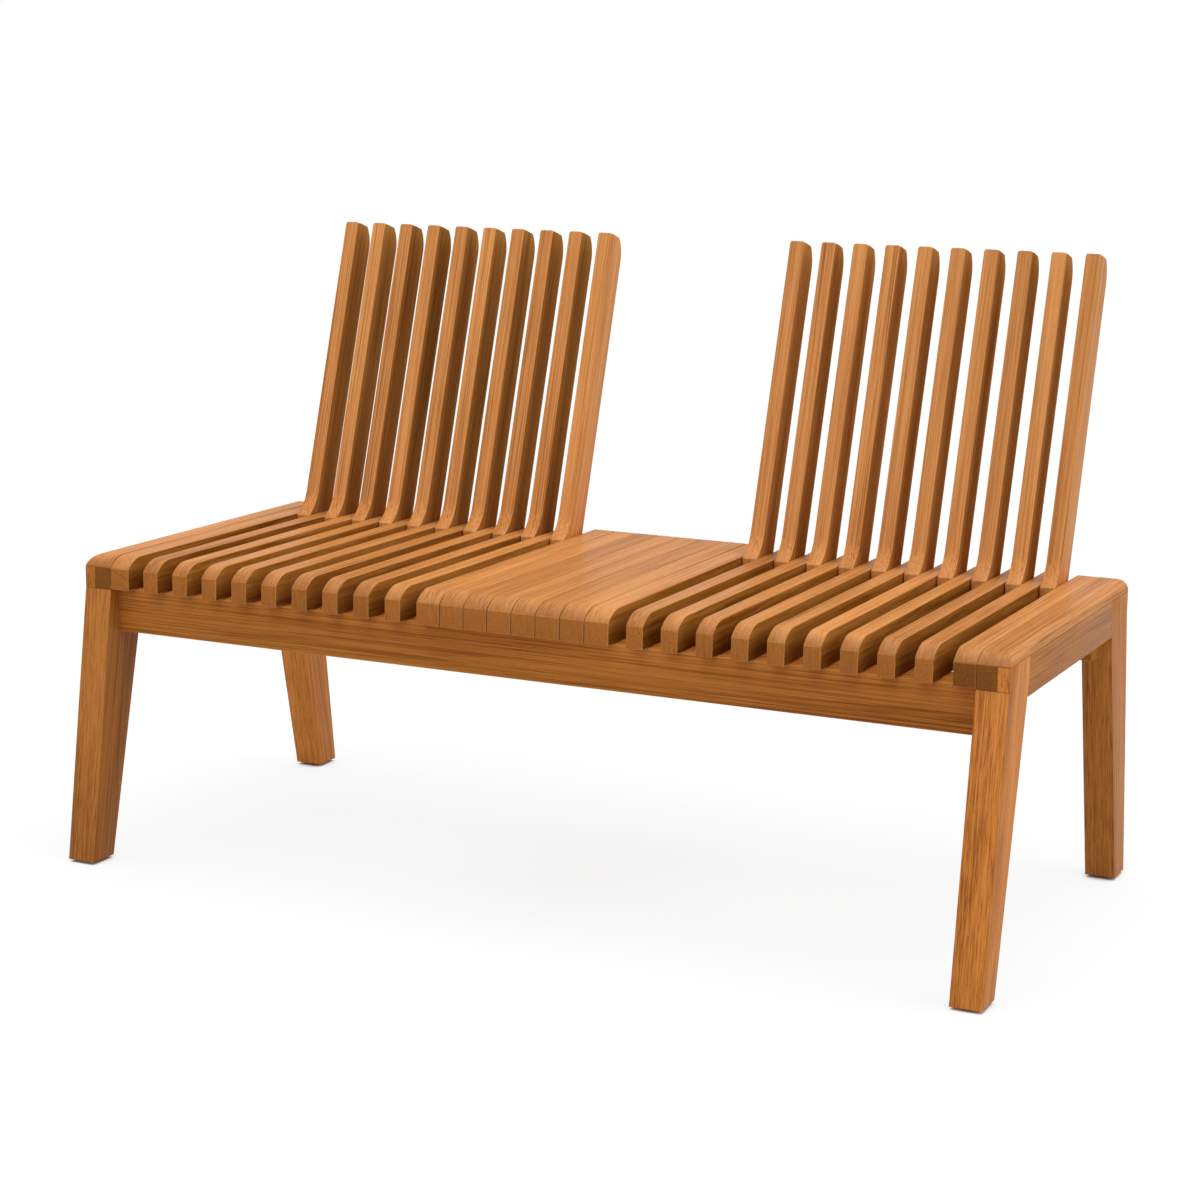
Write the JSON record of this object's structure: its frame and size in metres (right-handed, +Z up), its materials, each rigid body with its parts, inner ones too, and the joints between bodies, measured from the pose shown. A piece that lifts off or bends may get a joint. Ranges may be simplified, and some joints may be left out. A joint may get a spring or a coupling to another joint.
{
  "type": "convertible slatted bench",
  "caption": "Slatted teak bench with a fixed table between two seats, whose backs fold forward into the gaps of the seats.",
  "frame": {"origin": "on the floor, under the middle of the whole bounding box with both backs upright", "axes": "+X along the bench to the right of someone facing its front, -Y towards the front, +Z up"},
  "size_m": [1.336, 0.6796, 0.8654],
  "materials": {
    "teak_boards": "oiled teak, sanded, eased edges",
    "teak_backs": "oiled teak, sanded, eased edges",
    "teak_frame": "oiled teak, sanded",
    "stainless": "brushed stainless steel",
    "nylon": "moulded nylon"
  },
  "bodies": {
    "frame": {"leg_front_left": "teak_frame", "leg_front_right": "teak_frame", "leg_rear_left": "teak_frame", "leg_rear_right": "teak_frame", "side_rail_left": "teak_frame", "side_rail_right": "teak_frame", "cap_left": "teak_boards", "cap_right": "teak_boards", "front_apron": "teak_frame", "rear_apron": "teak_frame", "hinge_rail": "teak_frame", "bearer": "teak_frame", "table_planks": "teak_boards", "edge_slat_left": "teak_boards", "edge_slat_right": "teak_boards", "seat_slat_left_1": "teak_boards", "seat_slat_left_2": "teak_boards", "seat_slat_left_3": "teak_boards", "seat_slat_left_4": "teak_boards", "seat_slat_left_5": "teak_boards", "seat_slat_left_6": "teak_boards", "seat_slat_left_7": "teak_boards", "seat_slat_left_8": "teak_boards", "seat_slat_left_9": "teak_boards", "seat_slat_right_1": "teak_boards", "seat_slat_right_2": "teak_boards", "seat_slat_right_3": "teak_boards", "seat_slat_right_4": "teak_boards", "seat_slat_right_5": "teak_boards", "seat_slat_right_6": "teak_boards", "seat_slat_right_7": "teak_boards", "seat_slat_right_8": "teak_boards", "seat_slat_right_9": "teak_boards", "glides": "nylon", "deck_screws": "stainless", "dowels": "teak_frame"},
    "back_left": {"back_slat_left_1": "teak_backs", "back_slat_left_2": "teak_backs", "back_slat_left_3": "teak_backs", "back_slat_left_4": "teak_backs", "back_slat_left_5": "teak_backs", "back_slat_left_6": "teak_backs", "back_slat_left_7": "teak_backs", "back_slat_left_8": "teak_backs", "back_slat_left_9": "teak_backs", "back_slat_left_10": "teak_backs", "rod_left": "stainless", "washers_left": "nylon"},
    "back_right": {"back_slat_right_1": "teak_backs", "back_slat_right_2": "teak_backs", "back_slat_right_3": "teak_backs", "back_slat_right_4": "teak_backs", "back_slat_right_5": "teak_backs", "back_slat_right_6": "teak_backs", "back_slat_right_7": "teak_backs", "back_slat_right_8": "teak_backs", "back_slat_right_9": "teak_backs", "back_slat_right_10": "teak_backs", "rod_right": "stainless", "washers_right": "nylon"}
  },
  "joints": [
    {"name": "back_left_fold", "type": "hinge", "parent": "frame", "child": "back_left", "pos_m": [-0.368, 0.18821, 0.4075], "axis": [1, 0, 0], "range_deg": [0, 107]},
    {"name": "back_right_fold", "type": "hinge", "parent": "frame", "child": "back_right", "pos_m": [0.368, 0.18821, 0.4075], "axis": [1, 0, 0], "range_deg": [0, 107]}
  ]
}
